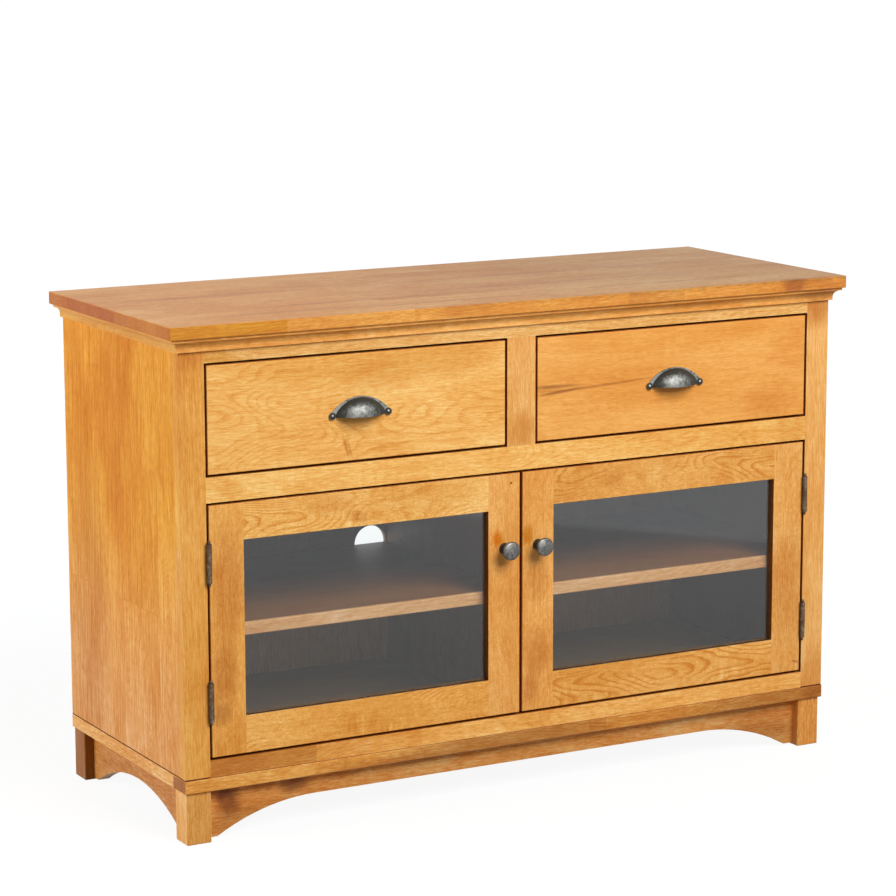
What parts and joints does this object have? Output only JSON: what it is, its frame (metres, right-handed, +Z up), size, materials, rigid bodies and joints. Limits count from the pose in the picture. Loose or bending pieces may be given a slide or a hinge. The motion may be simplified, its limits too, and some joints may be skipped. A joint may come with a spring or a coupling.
{
  "type": "tv stand",
  "caption": "Low wooden cabinet with drawers over glazed doors, an adjustable shelf behind each door, cup pulls, knobs and an arched base.",
  "frame": {"origin": "centre of the whole outline on the floor", "axes": "+X to the right seen from the front, -Y out of the front, +Z up"},
  "size_m": [1.217, 0.481, 0.8],
  "materials": {
    "honey_wood": "satin lacquer, honey",
    "amber_wood": "satin lacquer, amber",
    "inner_wood": "satin lacquer, pale",
    "pewter": "antique pewter, cast and textured",
    "bronze": "dark bronze",
    "glass": "clear"
  },
  "bodies": {
    "cabinet": {"top": "honey_wood", "crown_front": "honey_wood", "crown_left": "honey_wood", "crown_right": "honey_wood", "side_left": "amber_wood", "side_right": "amber_wood", "frame_stile_left": "honey_wood", "frame_stile_right": "honey_wood", "frame_top_rail": "honey_wood", "frame_mid_rail": "honey_wood", "frame_bottom_rail": "honey_wood", "frame_mullion": "honey_wood", "centre_partition": "inner_wood", "drawer_divider": "inner_wood", "dust_panel": "inner_wood", "case_bottom": "inner_wood", "back_panel": "inner_wood", "shelf_left": "inner_wood", "shelf_right": "inner_wood", "shelf_pins": "bronze", "base_rail_front": "honey_wood", "base_rail_back": "honey_wood", "base_rail_left": "honey_wood", "base_rail_right": "honey_wood", "leg_front_left": "amber_wood", "leg_front_right": "amber_wood", "leg_back_left": "amber_wood", "leg_back_right": "amber_wood", "apron_front": "amber_wood", "apron_back": "amber_wood", "apron_left": "amber_wood", "apron_right": "amber_wood", "drawer_runners": "inner_wood", "hinge_case_halves": "bronze"},
    "drawer_left": {"drawer_left_front": "honey_wood", "drawer_left_sides": "inner_wood", "drawer_left_back": "inner_wood", "drawer_left_bottom": "inner_wood", "drawer_left_pull": "pewter"},
    "door_left": {"door_left_hinge_stile": "honey_wood", "door_left_meeting_stile": "honey_wood", "door_left_top_rail": "honey_wood", "door_left_bottom_rail": "honey_wood", "door_left_glass": "glass", "door_left_stops": "honey_wood", "door_left_knob": "pewter", "door_left_hinge_halves": "bronze"},
    "drawer_right": {"drawer_right_front": "honey_wood", "drawer_right_sides": "inner_wood", "drawer_right_back": "inner_wood", "drawer_right_bottom": "inner_wood", "drawer_right_pull": "pewter"},
    "door_right": {"door_right_hinge_stile": "honey_wood", "door_right_meeting_stile": "honey_wood", "door_right_top_rail": "honey_wood", "door_right_bottom_rail": "honey_wood", "door_right_glass": "glass", "door_right_stops": "honey_wood", "door_right_knob": "pewter", "door_right_hinge_halves": "bronze"}
  },
  "joints": [
    {"name": "drawer_left_slide", "type": "slide", "parent": "cabinet", "child": "drawer_left", "axis": [0, -1, 0], "range_m": [0, 0.3]},
    {"name": "drawer_right_slide", "type": "slide", "parent": "cabinet", "child": "drawer_right", "axis": [0, -1, 0], "range_m": [0, 0.3]},
    {"name": "door_left_hinge", "type": "hinge", "parent": "cabinet", "child": "door_left", "pos_m": [-0.54375, -0.217, 0.329], "axis": [0, 0, -1], "range_deg": [0, 170]},
    {"name": "door_right_hinge", "type": "hinge", "parent": "cabinet", "child": "door_right", "pos_m": [0.54375, -0.217, 0.329], "axis": [0, 0, 1], "range_deg": [0, 170]}
  ]
}
